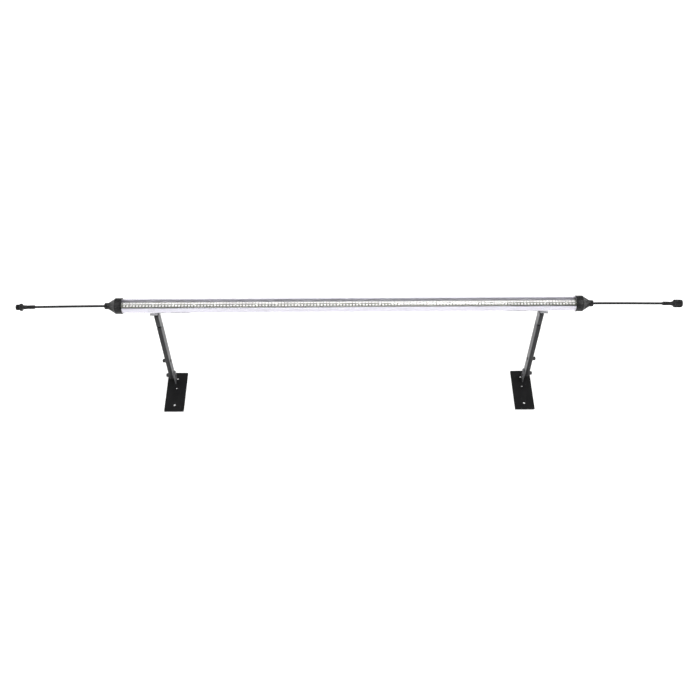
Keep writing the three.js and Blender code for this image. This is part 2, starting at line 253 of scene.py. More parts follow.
# ---- Materials ----------------------------------------------------------------------


class Finish:
    """A principled material, with short ways to add texture nodes to it."""

    def __init__(self, name, color, roughness, metallic=0.0, **sockets):
        self.material = bpy.data.materials.new(name)
        self.material.use_nodes = True
        self.tree = self.material.node_tree
        self.shader = self.tree.nodes["Principled BSDF"]
        self.set("Base Color", (*color, 1))
        self.set("Roughness", roughness)
        self.set("Metallic", metallic)
        for socket, value in sockets.items():
            self.set(socket.replace("_", " ").title().replace("Ior", "IOR"), value)
        self.color, self.roughness = color, roughness
        self.place = self.node("ShaderNodeTexCoord").outputs["Object"]

    def set(self, socket, value):
        self.shader.inputs[socket].default_value = value

    def node(self, kind, **inputs):
        made = self.tree.nodes.new(kind)
        for key, value in inputs.items():
            made.inputs[key].default_value = value
        return made

    def link(self, source, target):
        self.tree.links.new(source, target)

    def stretched(self, scale):
        mapping = self.node("ShaderNodeMapping", Scale=scale)
        self.link(self.place, mapping.inputs["Vector"])
        return mapping.outputs["Vector"]

    def noise(self, size, detail=3.0, scale=(1, 1, 1)):
        """Noise whose grains are about size millimetres."""
        made = self.node("ShaderNodeTexNoise", Scale=1 / (size * MM), Detail=detail)
        self.link(self.stretched(scale), made.inputs["Vector"])
        return made.outputs["Fac"]

    def mapped(self, value, low, high, start=0.3, end=0.7):
        made = self.node("ShaderNodeMapRange")
        for key, number in zip((1, 2, 3, 4), (start, end, low, high)):
            made.inputs[key].default_value = number
        self.link(value, made.inputs[0])
        return made.outputs[0]

    def uneven_roughness(self, value, spread):
        rough = self.mapped(value, self.roughness - spread, self.roughness + spread)
        self.link(rough, self.shader.inputs["Roughness"])

    def tinted(self, value, other, start=0.35, end=0.65):
        """Mixes the base colour towards another one where value is high."""
        ramp = self.tree.nodes.new("ShaderNodeValToRGB")
        ramp.color_ramp.elements[0].position, ramp.color_ramp.elements[1].position = start, end
        ramp.color_ramp.elements[0].color = (*self.color, 1)
        ramp.color_ramp.elements[1].color = (*other, 1)
        self.link(value, ramp.inputs["Fac"])
        self.link(ramp.outputs["Color"], self.shader.inputs["Base Color"])

    def bumped(self, value, depth, strength=1.0):
        """Raises the surface by depth millimetres where value is high."""
        bump = self.node("ShaderNodeBump", Strength=strength, Distance=depth * MM)
        self.link(value, bump.inputs["Height"])
        self.link(bump.outputs["Normal"], self.shader.inputs["Normal"])


def powder_coat(name, color, roughness, lighter, shine):
    finish = Finish(name, color, roughness, 0.0, specular_ior_level=shine)
    finish.uneven_roughness(finish.noise(9), 0.06)
    finish.tinted(finish.noise(22, 5), [c * lighter for c in color])
    finish.bumped(finish.noise(0.55, 2), 0.05, 0.5)
    return finish.material


def folded_metal(name, color, along):
    """Satin metal with fine drawing lines along one axis."""
    finish = Finish(name, color, 0.42, 0.1, specular_ior_level=0.15)
    lines = finish.noise(0.5, 2, along)
    finish.uneven_roughness(finish.noise(14), 0.07)
    finish.tinted(lines, [c * 1.22 for c in color])
    finish.bumped(lines, 0.012, 0.6)
    return finish.material


def turned_metal(name, color, metallic):
    finish = Finish(name, color, 0.32, metallic)
    finish.uneven_roughness(finish.noise(1.5), 0.08)
    finish.tinted(finish.noise(4), [c * 1.2 for c in color])
    finish.bumped(finish.noise(0.3), 0.01, 0.4)
    return finish.material


def moulded(name, color, roughness, grain=0.35, shine=0.5):
    """Moulded plastic with a faint spark-eroded grain."""
    finish = Finish(name, color, roughness, 0.0, specular_ior_level=shine)
    finish.uneven_roughness(finish.noise(6), 0.06)
    finish.tinted(finish.noise(12, 4), [c * 1.3 + 0.002 for c in color])
    finish.bumped(finish.noise(grain, 2), 0.02, 0.5)
    return finish.material


def rubbery(name, color, roughness):
    finish = Finish(name, color, roughness, 0.0, specular_ior_level=0.12)
    finish.uneven_roughness(finish.noise(5), 0.08)
    finish.tinted(finish.noise(15, 4), [c * 1.5 for c in color])
    finish.bumped(finish.noise(0.4, 2), 0.03, 0.5)
    return finish.material


def clear_tube_wall(name):
    """Clear plastic, whose thickness shows as a lavender tint where it is seen edge-on."""
    finish = Finish(name, (0.99, 0.985, 1.0), 0.01, 0.0, transmission_weight=1.0, ior=1.42)
    finish.bumped(finish.noise(6, 2, (0.04, 1, 1)), 0.008, 0.2)
    tint = finish.node("ShaderNodeVolumeAbsorption", Color=(0.3, 0.27, 0.5, 1), Density=48)
    finish.link(tint.outputs["Volume"], finish.tree.nodes["Material Output"].inputs["Volume"])
    return finish.material


def clear_moulding(name):
    """Thin clear plastic, which shows little more than its glints."""
    finish = Finish(name, (0.9, 0.91, 0.94), 0.12, 0.0, alpha=0.05)
    finish.uneven_roughness(finish.noise(5), 0.04)
    finish.bumped(finish.noise(4), 0.02, 0.3)
    return finish.material


def drawn_aluminium(name, color, metallic):
    finish = Finish(name, color, 0.38, metallic)
    lines = finish.noise(0.4, 2, (0.01, 1, 1))
    finish.uneven_roughness(lines, 0.08)
    finish.tinted(finish.noise(30), [c * 1.08 for c in color])
    finish.bumped(lines, 0.01, 0.5)
    return finish.material


def board_mask(name):
    """Solder mask over copper, which shows as a faint pattern of wide tracks."""
    finish = Finish(name, (0.22, 0.23, 0.17), 0.42)
    tracks = finish.node("ShaderNodeTexBrick", Scale=1 / (LED_PITCH * MM))
    tracks.inputs["Mortar Size"].default_value = 0.06
    tracks.inputs["Color1"].default_value = (1, 1, 1, 1)
    tracks.inputs["Color2"].default_value = (0.9, 0.9, 0.9, 1)
    tracks.inputs["Mortar"].default_value = (0, 0, 0, 1)
    finish.link(finish.stretched((1, 1, 1)), tracks.inputs["Vector"])
    finish.tinted(tracks.outputs["Fac"], (0.17, 0.18, 0.13))
    finish.bumped(finish.noise(2), 0.01, 0.4)
    return finish.material


def lit_phosphor(name):
    finish = Finish(name, (0.98, 0.95, 0.72), 0.35)
    finish.set("Emission Color", (0.98, 1.0, 0.84, 1))
    finish.set("Emission Strength", 2.3)
    finish.tinted(finish.noise(0.6), (1.0, 0.98, 0.82))
    return finish.material


LOOK = {
    "plate": powder_coat("black_powder_coat", (0.005, 0.005, 0.0053), 0.5, 1.4, 0.09),
    "lug": powder_coat("grey_powder_coat", (0.07, 0.07, 0.073), 0.45, 1.2, 0.2),
    # painted light and shade: the arm's one grey metal as a lit copy on the web and a shaded copy on
    # the flanges
    "web": folded_metal("web_painted_light", (0.083, 0.083, 0.086), (1, 1, 0.02)),
    "flange": folded_metal("flange_painted_shade", (0.017, 0.017, 0.018), (1, 1, 0.02)),
    # painted highlight: the tab's copy of the arm's grey, much paler where it catches the lamp
    "tab": folded_metal("tab_painted_highlight", (0.46, 0.46, 0.465), (0.02, 1, 1)),
    # painted shade: the slider, seen only in the seam notch, painted near black as the seam's shadow
    "slider": powder_coat("slider_painted_shade", (0.003, 0.003, 0.0032), 0.6, 1.2, 0.04),
    "weld": powder_coat("coated_weld", (0.008, 0.008, 0.0085), 0.4, 1.4, 0.25),
    "knob": moulded("knob_plastic", (0.02, 0.02, 0.021), 0.4, 0.35, 0.3),
    "steel": turned_metal("black_oxide", (0.05, 0.05, 0.053), 0.6),
    "clip": clear_moulding("clear_clip"),
    "tube": clear_tube_wall("clear_tube_wall"),
    "tray": drawn_aluminium("silver_anodised", (0.9, 0.89, 0.93), 0.1),
    # painted shade for the tray's deck and legs in the gaps; also the driver capacitor's own grey
    # can
    "tray_inside": drawn_aluminium("grey_can_and_painted_tray_shade", (0.42, 0.42, 0.43), 0.4),
    "board": board_mask("solder_mask"),
    "led_body": moulded("led_package", (0.86, 0.86, 0.8), 0.4, 0.8),
    "led": lit_phosphor("led_phosphor"),
    "driver": moulded("driver_board", (0.02, 0.1, 0.04), 0.45),
    "wire": moulded("wire_insulation", (0.3, 0.02, 0.02), 0.45),
    "cap": moulded("cap_nylon", (0.005, 0.005, 0.0052), 0.27, 0.5, 0.2),
    "rubber": rubbery("seal_rubber", (0.01, 0.01, 0.01), 0.7),
    "cable": rubbery("cable_jacket", (0.013, 0.013, 0.0133), 0.5),
    "pin": turned_metal("nickel_flash", (0.6, 0.52, 0.38), 1.0),
}


# ---- Camera and cables --------------------------------------------------------------


def make_camera():
    data = bpy.data.cameras.new("camera")
    data.lens, data.sensor_width = 50, 36
    data.clip_start, data.clip_end = 0.05, 60
    camera = bpy.data.objects.new("camera", data)
    bpy.context.scene.collection.objects.link(camera)
    down, turn, roll = (math.radians(a) for a in (52.584, 0.351, -0.066))
    camera.matrix_world = (
        Matrix.Translation((-0.0075, -1.5299, 2.186))
        @ Matrix.Rotation(-turn, 4, "Z")
        @ Matrix.Rotation(math.pi / 2 - down, 4, "X")
        @ Matrix.Rotation(roll, 4, "Z")
    )
    bpy.context.scene.camera = camera


def make_cable(label, side):
    data = bpy.data.curves.new(f"cable_{label}_jacket", "CURVE")
    data.dimensions = "3D"
    data.bevel_depth, data.bevel_resolution, data.resolution_u = CORD_R * MM, 8, 4
    data.use_fill_caps = True
    line = data.splines.new("BEZIER")
    line.bezier_points.add(len(CORD_ROUTE) - 1)
    for point, (x, z) in zip(line.bezier_points, CORD_ROUTE):
        point.co = Vector((side * x, ARM_Y, LAMP_Z + z)) * MM
        point.handle_left_type = point.handle_right_type = "AUTO"
    piece = bpy.data.objects.new(f"cable_{label}_jacket", data)
    bpy.context.scene.collection.objects.link(piece)
    return fitted(piece, "lamp", "rubber_black", LOOK["cable"], f"cable_{label}")


# ---- Bracket ------------------------------------------------------------------------


def make_base_plate(label):
    node = f"base_plate_{label}"
    low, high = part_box(node)
    x, y, thick = (high.x - low.x) / 2 / MM, (high.y - low.y) / 2 / MM, high.z / MM
    place = at(middle(node).x, middle(node).y, 0)
    corner = 2
    outline = []
    for cx, cy, start in ((1, 1, 0), (-1, 1, 90), (-1, -1, 180), (1, -1, 270)):
        outline += arc(cx * (x - corner), cy * (y - corner), corner, start, start + 90, 6)
    plate = prism(f"{node}_sheet", outline, 0, thick, place, "Z")
    holes = [(43.5, 3.3), (12, 2.4), (-43.5, 3.3)]
    cutters = [
        prism("cutter", arc(0, hole_y, r, 0, 352.5, 47), -1, thick + 1, place, "Z")
        for hole_y, r in holes
    ]
    plate = smoothed(eased(drilled(plate, *cutters), 0.45))
    fitted(plate, "base", "plate_black", LOOK["plate"], node)


def make_lug(label, side):
    node = f"pivot_lug_{label}"
    inner, outer = span(node, 0)
    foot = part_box(node)[0].z / MM
    half = (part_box(node)[1].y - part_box(node)[0].y) / MM / 2
    outline = [(-half, foot), (half, foot)] + arc(0, PIVOT_Z, half, 0, 180, 36)
    place = arm_place(side)
    lug = prism(f"{node}_ear", outline, inner, outer, place)
    hole = spun("cutter", [[inner - 1, 0], [inner - 1, 2.75], [outer + 1, 2.75], [outer + 1, 0]],
                arm_place(side, PIVOT_Z), 32)
    lug = smoothed(eased(drilled(lug, hole), 0.5))
    fitted(lug, "base", "lug_grey", LOOK["lug"], node)
    for where, x, way in (("inner", inner, -1), ("outer", outer, 1)):
        bead = weld_bead(f"weld_{where}_{label}", half - 1, foot, x, way, place)
        fitted(bead, "base", "plate_black", LOOK["weld"])


def weld_bead(name, half, foot, x, way, place):
    """A fillet weld along the lug's foot, in overlapping ripples."""
    bm = bmesh.new()
    rings = []
    steps = 72
    for i in range(steps + 1):
        y = -half + 2 * half * i / steps
        end = min(1, (half - abs(y)) / 2.2)
        ripple = 0.14 * abs(math.sin(math.pi * i / 4.5))
        r = max(0.25, (1.5 + ripple) * math.sqrt(max(end, 0.02)))
        ring = []
        for k in range(9):
            turn = math.pi / 2 * k / 8
            out, up = r * math.cos(turn), r * math.sin(turn)
            belly = 0.88 + 0.12 * math.cos(4 * (turn - math.pi / 4))
            ring.append(bm.verts.new((x + way * out * belly, y, foot - GAP + up * belly)))
        ring.append(bm.verts.new((x - way * 0.05, y, foot - GAP)))
        rings.append(ring)
    for a, b in zip(rings, rings[1:]):
        for k in range(len(a)):
            j = (k + 1) % len(a)
            bm.faces.new((a[k], a[j], b[j], b[k]))
    bm.faces.new(rings[0])
    bm.faces.new(rings[-1])
    return smoothed(add_mesh(name, bm, place), 60)


def channel_outline(inner, outer, half, bend):
    """A folded channel, open on its outer side, drawn in X-Y."""
    outer_wall = [(outer, -half)] + arc(inner + bend, -half + bend, bend, 270, 180, 8)
    outer_wall += arc(inner + bend, half - bend, bend, 180, 90, 8) + [(outer, half)]
    r = max(bend - SHEET, 0.35)
    inside = [(outer, half - SHEET)]
    inside += arc(inner + SHEET + r, half - SHEET - r, r, 90, 180, 5)
    inside += arc(inner + SHEET + r, -half + SHEET + r, r, 180, 270, 5)
    return outer_wall + inside + [(outer, -half + SHEET)]


def bore(x0, x1, z, r, side):
    return spun("cutter", [[x0, 0], [x0, r], [x1, r], [x1, 0]], arm_place(side, z), 40)


def paint_light_and_shade(piece, tab_top=None, seam=0):
    """Painted light and shade by facing: a lit web, shaded flanges, a painted highlight on the tab
    past the bend with painted shade in the bend, and painted shade on the flanges below the seam.
    """
    for face in piece.data.polygons:
        # painted shade: the slider's flanges below the seam, seen in the notch
        if face.center.z / MM < seam and abs(face.normal.x) <= 0.55:
            face.material_index = 3
        # painted highlight on the tab's flat faces; painted shade, the flange copy, in the bend and
        # the web's top corner
        elif tab_top and face.center.z / MM > tab_top - 4.5:
            face.material_index = 2 if abs(face.normal.z) > 0.9 else 0
        else:
            # painted light on the faces along X, the web; painted shade on the flanges
            face.material_index = 1 if abs(face.normal.x) > 0.55 else 0


def make_lower_arm(label, side):
    node = f"lower_arm_{label}"
    inner, outer = span(node, 0)
    low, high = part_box(node)
    half, top = (high.y - low.y) / MM / 2, high.z / MM
    place = arm_place(side)
    arm = prism(
        f"{node}_channel", channel_outline(inner, outer, half, 2.2), PIVOT_Z, top, place, "Z"
    )
    rounded = half - 0.9
    tongue = [(rounded, PIVOT_Z + 3), (-rounded, PIVOT_Z + 3)]
    tongue += arc(0, PIVOT_Z, rounded, 180, 360, 36)
    fused(arm, prism("other", tongue, inner, inner + SHEET, place))
    near, far = inner - 1, inner + SHEET + 1
    drilled(arm, bore(near, far, PIVOT_Z, 2.75, side), bore(near, far, CLAMP_Z, 2.75, side))
    smoothed(eased(arm, 0.28, 2))
    # painted shade on the flanges and painted light on the web, two copies of one grey metal
    fitted(arm, f"lower_arm_{label}", "arm_grey", [LOOK["flange"], LOOK["web"]], node)
    paint_light_and_shade(arm)


def make_upper_arm(label, side):
    """A slotted slider inside the lower arm, under a head with the lower arm's section."""
    node = f"upper_arm_{label}"
    inner, tab_outer = span(node, 0)
    low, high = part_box(node)
    half, foot, top = (high.y - low.y) / MM / 2, low.z / MM, high.z / MM
    outer = span(f"lower_arm_{label}", 0)[1]
    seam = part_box(f"lower_arm_{label}")[1].z / MM
    slider, bend = inner + SHEET + GAP, 3
    head_top = top - 4.8
    place = arm_place(side)
    section = channel_outline(slider, outer, half - SHEET - 0.35, 1.9)
    arm = prism(f"{node}_channel", section, foot, head_top, place, "Z")
    flat = half - 2.2
    web = [(-flat, seam + 0.5), (flat, seam + 0.5), (flat, head_top), (-flat, head_top)]
    tab = [(inner, head_top - 0.5)] + arc(inner + bend, top - bend, bend, 180, 90, 8)
    tab += [(tab_outer, top), (tab_outer, top - SHEET)]
    r = bend - SHEET
    tab += arc(inner + bend, top - bend, r, 90, 180, 6) + [(inner + SHEET, head_top - 0.5)]
    head = channel_outline(inner, outer, half, 2.2)
    fused(
        arm,
        prism("other", head, seam + 4.5, head_top, place, "Z"),
        prism("other", web, inner, inner + 2 * SHEET, place),
        prism("other", tab, -half, half, place, "Y"),
    )
    slot = arc(0, 95.2, 2.8, 0, 180, 16) + arc(0, 50.8, 2.8, 180, 360, 16)
    screw_x = abs(middle(f"clip_nut_{label}").x)
    hole = arc(screw_x, 0, 2.3, 0, 345, 23)
    drilled(
        arm,
        prism("cutter", slot, slider - 1, slider + SHEET + 1, place),
        prism("cutter", hole, top - 3, top + 1, place, "Z"),
    )
    smoothed(eased(arm, 0.28, 2))
    # painted shade on the flanges and the slider, painted light on the web, a painted highlight on
    # the tab
    looks = [LOOK["flange"], LOOK["web"], LOOK["tab"], LOOK["slider"]]
    fitted(arm, f"upper_arm_{label}", "arm_grey", looks, node)
    paint_light_and_shade(arm, top, seam)


def make_knob(kind, label, side, z, body):
    node = f"{kind}_knob_{label}"
    start, end = span(node, 0)
    grip = end - 9
    profile = [
        [start, 2.75],
        [start, 3.7],
        [start + 0.3, 4],
        [grip - 1.2, 4],
        [grip - 0.6, 4.2],
        [grip - 0.1, 4.9, 0.3],
        [grip + 0.5, 5.2, 0.75],
        [grip + 4, 5.2, 0.8],
        [end - 2.2, 5.2, 0.75],
        [end - 1.3, 4.9, 0.45],
        [end - 0.8, 4.3, 0.15],
        [end - 0.6, 3.6],
        [end - 0.5, 3.2],
        [end - 0.1, 2.9],
        [end, 2.2],
        [end, 0.4],
        [end - 4, 0.4],
        [end - 4, 2.75],
    ]
    knob = spun(f"{node}_grip", profile, arm_place(side, z), 128, 10)
    fitted(smoothed(knob, 30), body, "knob_black", LOOK["knob"], node)


def make_bolt(kind, label, side, z, body):
    node = f"{kind}_bolt_{label}"
    start, end = span(node, 0)
    head = 2.8 if kind == "pivot" else 2.2
    flat = start + head
    profile = [[start, 0], [start, 2.2], [start + 0.35, 3.4], [start + 0.9, 4.1]]
    profile += [[start + 1.5, 4.4], [flat - 0.2, 4.4], [flat, 4.2], [flat, 2.5]]
    x = flat + 2
    while x < end - 1.2:
        profile += [[x, 2.5], [x + 0.4, 2.12], [x + 0.8, 2.5]]
        x += 0.8
    profile += [[end - 0.5, 2.5], [end, 2.0], [end, 0]]
    bolt = spun(f"{node}_shank", profile, arm_place(side, z), 48)
    socket = spun("cutter", [[start - 1, 0], [start - 1, 1.5], [start + 1.6, 1.5], [start + 1.9, 0]],
                  arm_place(side, z), 6)
    fitted(smoothed(drilled(bolt, socket), 30), body, "bolt_steel", LOOK["steel"], node)


def make_washer(kind, label, side, z, body):
    node = f"{kind}_washer_{label}"
    start, end = span(node, 0)
    profile = [[start, 2.75], [start, 5.8], [start + 0.2, 6], [end - 0.2, 6], [end, 5.8]]
    washer = spun(f"{node}_ring", profile + [[end, 2.95], [end - 0.15, 2.75]],
                  arm_place(side, z), 64)
    fitted(smoothed(washer, 30), body, "bolt_steel", LOOK["steel"], node)


def make_clip(label):
    node = f"tube_clip_{label}"
    low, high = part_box(node)
    half, foot = (high.x - low.x) / MM / 2, low.z / MM - LAMP_Z
    place = at(middle(node).x, ARM_Y, LAMP_Z)
    inner, outer, tip = TUBE_R + 0.3, TUBE_R + 2.3, 35
    lip = 1.35
    outline = arc(0, 0, outer, tip - 4, -64, 44)
    outline += [(9.4, foot + 0.8), (8.6, foot), (-8.6, foot), (-9.4, foot + 0.8)]
    outline += arc(0, 0, outer, 244, 184 - tip, 44)
    ends = math.radians(180 - tip)
    middle_r = (inner + outer) / 2
    cx, cy = middle_r * math.cos(ends), middle_r * math.sin(ends)
    outline += arc(cx * 1.01, cy * 1.01, lip, 215 - tip, 0 - tip + 20, 12)
    outline += arc(0, 0, inner, 176 - tip, 364 + tip, 88)
    outline += arc(-cx * 1.01, cy * 1.01, lip, 160 + tip, -35 + tip, 12)
    clip = prism(f"{node}_spring", outline, -half, half, place)
    sink_foot = foot - 0.5
    sink = spun(
        "cutter",
        [[sink_foot, 0], [sink_foot, 2.25], [foot + 1, 2.25], [foot + 2.6, 3.8], [foot + 4, 3.8],
         [foot + 4, 0]],
        place @ Matrix.Rotation(-math.pi / 2, 4, "Y"),
        32,
    )
    clip = smoothed(eased(drilled(clip, sink), 0.3, 2), 30)
    fitted(clip, f"upper_arm_{label}", "clip_clear", LOOK["clip"], node)


def make_clip_screw(label):
    node = f"clip_screw_{label}"
    low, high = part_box(node)
    foot, top = low.z / MM, high.z / MM
    x = middle(node).x
    upright = at(x, ARM_Y, 0) @ Matrix.Rotation(-math.pi / 2, 4, "Y")
    profile = [[foot, 0], [foot, 1.6], [foot + 0.5, 2]]
    z = foot + 0.8
    while z < top - 4:
        profile += [[z, 2], [z + 0.35, 1.7], [z + 0.7, 2]]
        z += 0.7
    profile += [[top - 1.5, 2], [top - 0.1, 3.35], [top, 3.2], [top, 0]]
    screw = spun(f"{node}_shank", profile, upright, 48)
    cross = [
        prism("cutter", [(-a, -b), (a, -b), (a, b), (-a, b)], top - 1, top + 1, at(x, ARM_Y, 0), "Z")
        for a, b in ((2, 0.4), (0.4, 2))
    ]
    fitted(smoothed(drilled(screw, *cross), 30), f"upper_arm_{label}", "bolt_steel",
           LOOK["steel"], node)

    node = f"clip_nut_{label}"
    low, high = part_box(node)
    foot, top = low.z / MM, high.z / MM
    nut = prism(f"{node}_hex", arc(0, 0, 4, 0, 300, 5), foot, top, at(x, ARM_Y, 0), "Z")
    chamfer = spun("other", [[foot, 0], [foot, 3.5], [foot + 0.45, 4.05], [top - 0.45, 4.05],
                             [top, 3.5], [top, 0]], upright, 48)
    nut = combined(nut, [chamfer], "INTERSECT")
    hole = spun("cutter", [[foot - 1, 0], [foot - 1, 2.25], [top + 1, 2.25], [top + 1, 0]],
                upright, 32)
    fitted(smoothed(drilled(nut, hole), 30), f"upper_arm_{label}", "bolt_steel",
           LOOK["steel"], node)


def make_bracket(label, side):
    make_base_plate(label)
    make_lug(label, side)
    make_lower_arm(label, side)
    make_upper_arm(label, side)
    make_knob("pivot", label, side, PIVOT_Z, f"pivot_knob_{label}")
    make_knob("clamp", label, side, CLAMP_Z, f"clamp_knob_{label}")
    make_bolt("pivot", label, side, PIVOT_Z, "base")
    make_bolt("clamp", label, side, CLAMP_Z, f"lower_arm_{label}")
    make_washer("pivot", label, side, PIVOT_Z, f"lower_arm_{label}")
    make_washer("clamp", label, side, CLAMP_Z, f"lower_arm_{label}")
    make_clip(label)
    make_clip_screw(label)


# ---- Lamp ---------------------------------------------------------------------------


def make_tube():
    end = span("clear_tube", 0)[1]
    inner = TUBE_R - TUBE_WALL
    profile = [[-end, inner], [-end, TUBE_R], [end, TUBE_R], [end, inner]]
    tube = spun("clear_tube_wall", profile, lamp_place(), 144)
    fitted(smoothed(tube), "lamp", "tube_clear", LOOK["tube"], "clear_tube")


def make_tray():
    """A half-round trough with a deck on two legs: silver outside, its deck and gaps painted darker
    as painted shade.
    """
    node = "heat_sink_tray"
    low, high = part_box(node)
    end, r = high.x / MM, (high.y - low.y) / MM / 2
    wall, deck, leg, top, sheet = 1, 9.2, 7.2, 2.2, 1.4
    rim = high.z / MM - LAMP_Z
    outer_end = math.degrees(math.asin(rim / r))
    inner = r - wall
    inner_end = math.degrees(math.asin(rim / inner))
    outline = arc(0, 0, r, outer_end, -180 - outer_end, 96)
    outline += arc(0, 0, inner, -180 - inner_end, inner_end, 88)
    tray = prism("heat_sink_trough", outline, -end, end, lamp_place())
    under = top - sheet
    board_rest = [(-deck, under), (deck, under), (deck, top - 0.3), (deck - 0.3, top)]
    board_rest += [(-deck + 0.3, top), (-deck, top - 0.3)]
    others = [prism("other", board_rest, -end, end, lamp_place())]
    for y in (-leg, leg):
        foot = -math.sqrt(inner**2 - y**2) - wall / 2
        strip = [(y - wall / 2, foot), (y + wall / 2, foot)]
        strip += [(y + wall / 2, under + 0.5), (y - wall / 2, under + 0.5)]
        others.append(prism("other", strip, -end, end, lamp_place()))
    tray = smoothed(fused(tray, *others), 25)
    fitted(tray, "lamp", "tray_grey", [LOOK["tray"], LOOK["tray_inside"]], node)
    # painted shade: faces nearer the axis than the trough's wall, the deck and legs, take the darker
    # material
    for face in tray.data.polygons:
        out = math.hypot(face.center.y / MM - ARM_Y, face.center.z / MM - LAMP_Z)
        face.material_index = 0 if out > r - wall * 1.05 else 1


def box_faces(bm, low, high, chamfer=0.0):
    """A box with its upper edges chamfered, as faces of bm."""
    (x0, y0, z0), (x1, y1, z1) = low, high
    c = chamfer
    levels = [(0, z0), (0, z1 - c), (c, z1)] if c else [(0, z0), (0, z1)]
    rings = []
    for inset, z in levels:
        corners = ((x0 + inset, y0 + inset), (x1 - inset, y0 + inset),
                   (x1 - inset, y1 - inset), (x0 + inset, y1 - inset))
        rings.append([bm.verts.new((x, y, z)) for x, y in corners])
    faces = [bm.faces.new(rings[0][::-1]), bm.faces.new(rings[-1])]
    for a, b in zip(rings, rings[1:]):
        for i in range(4):
            j = (i + 1) % 4
            faces.append(bm.faces.new((a[i], a[j], b[j], b[i])))
    return faces


def make_board():
    low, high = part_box("led_board")
    end, half = high.x / MM, (high.y - low.y) / MM / 2
    foot, top = low.z / MM - LAMP_Z, high.z / MM - LAMP_Z
    bm = bmesh.new()
    box_faces(bm, (-end, -half, foot), (end, half, top), 0.12)
    board = add_mesh("led_board_laminate", bm, lamp_place())
    fitted(board, "lamp", "board_pale", LOOK["board"], "led_board")

    bm = bmesh.new()
    count = 22
    for i in range(count):
        x = -end + 30 + (2 * end - 60) * i / (count - 1)
        box_faces(bm, (x - 1.5, -0.8, top), (x + 1.5, 0.8, top + 0.55), 0.1)
        for way in (-1, 1):
            box_faces(bm, (x + way * 1.9 - 0.35, -0.9, top), (x + way * 1.9 + 0.35, 0.9, top + 0.2))
    parts = add_mesh("board_resistors", bm, lamp_place())
    fitted(parts, "lamp", "board_pale", LOOK["led_body"])


def make_led_row(node, half_long):
    """One LED package after another: a white body with a rounded phosphor window."""
    low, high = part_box(node)
    y, foot = middle(node).y - ARM_Y, low.z / MM - LAMP_Z - 0.25
    top = high.z / MM - LAMP_Z
    half_wide = (high.y - low.y) / MM / 2
    window = half_wide - 0.45
    stretch = (half_long - 0.45) / window
    bm = bmesh.new()
    for i in range(LED_COUNT):
        x = (i - (LED_COUNT - 1) / 2) * LED_PITCH
        faces = box_faces(
            bm, (x - half_long, y - half_wide, foot), (x + half_long, y + half_wide, top), 0.15
        )
        lid = faces[1]
        bm.faces.remove(lid)
        square = [(1, 1), (-1, 1), (-1, -1), (1, -1)]
        inset = 0.15
        corners = [
            bm.verts.new((x + a * (half_long - inset), y + b * (half_wide - inset), top))
            for a, b in square
        ]
        steps = 16
        circle = [
            [bm.verts.new((x + stretch * r * math.cos(t), y + r * math.sin(t), z))
             for t in (math.radians(45) + 2 * math.pi * k / steps for k in range(steps))]
            for r, z in ((window, top), (window - 0.15, top - 0.12), (window * 0.5, top - 0.03))
        ]
        for k in range(4):
            near = circle[0][k * 4:k * 4 + 5]
            if k == 3:
                near = circle[0][12:] + circle[0][:1]
            bm.faces.new([corners[k]] + [corners[(k + 1) % 4]] + near[::-1])
        for a, b in zip(circle, circle[1:]):
            for k in range(steps):
                j = (k + 1) % steps
                bm.faces.new((a[k], a[j], b[j], b[k])).material_index = 1
        bm.faces.new(circle[-1]).material_index = 1
    row = add_mesh(f"{node}_packages", bm, lamp_place())
    fitted(smoothed(row, 30), "lamp", "led_white", [LOOK["led_body"], LOOK["led"]], node)


def make_driver():
    node = "driver_module"
    low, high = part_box(node)
    top = high.z / MM - LAMP_Z
    start = low.x / MM
    bm = bmesh.new()
    box_faces(bm, (start, -6.2, top - 1.6), (start + 110, 6.2, top), 0.1)
    fitted(add_mesh("driver_board", bm, lamp_place()), "lamp", "driver_green",
           LOOK["driver"], node)
    bm = bmesh.new()
    blocks = ((6, 36, 5.6, 8), (80, 24, 5, 6), (44, 4, 2, 2), (73, 4, 4, 2))
    for x0, long, half, tall in blocks:
        box_faces(bm, (start + x0, -half, top - 1.6 - tall), (start + x0 + long, half, top - 1.65))
    parts = add_mesh("driver_parts", bm, lamp_place())
    fitted(parts, "lamp", "cap_black", LOOK["rubber"])
    can = [[0, 0], [0, 3.9], [0.4, 4.3], [1.2, 4.3], [1.6, 4.0], [2.0, 4.3], [20.6, 4.3],
           [21, 3.9], [21, 0]]
    capacitor = spun("driver_capacitor", can,
                     lamp_place() @ Matrix.Translation((start + 50.5, 0, top - 6)), 48)
    fitted(smoothed(capacitor, 30), "lamp", "tray_grey", LOOK["tray_inside"])


def keep_node(node, material, angle=40):
    """A CAD node whose shape is right, with its own finish."""
    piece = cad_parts[node]
    piece.data.materials.clear()
    piece.data.materials.append(LOOK[material])
    smoothed(piece, angle)


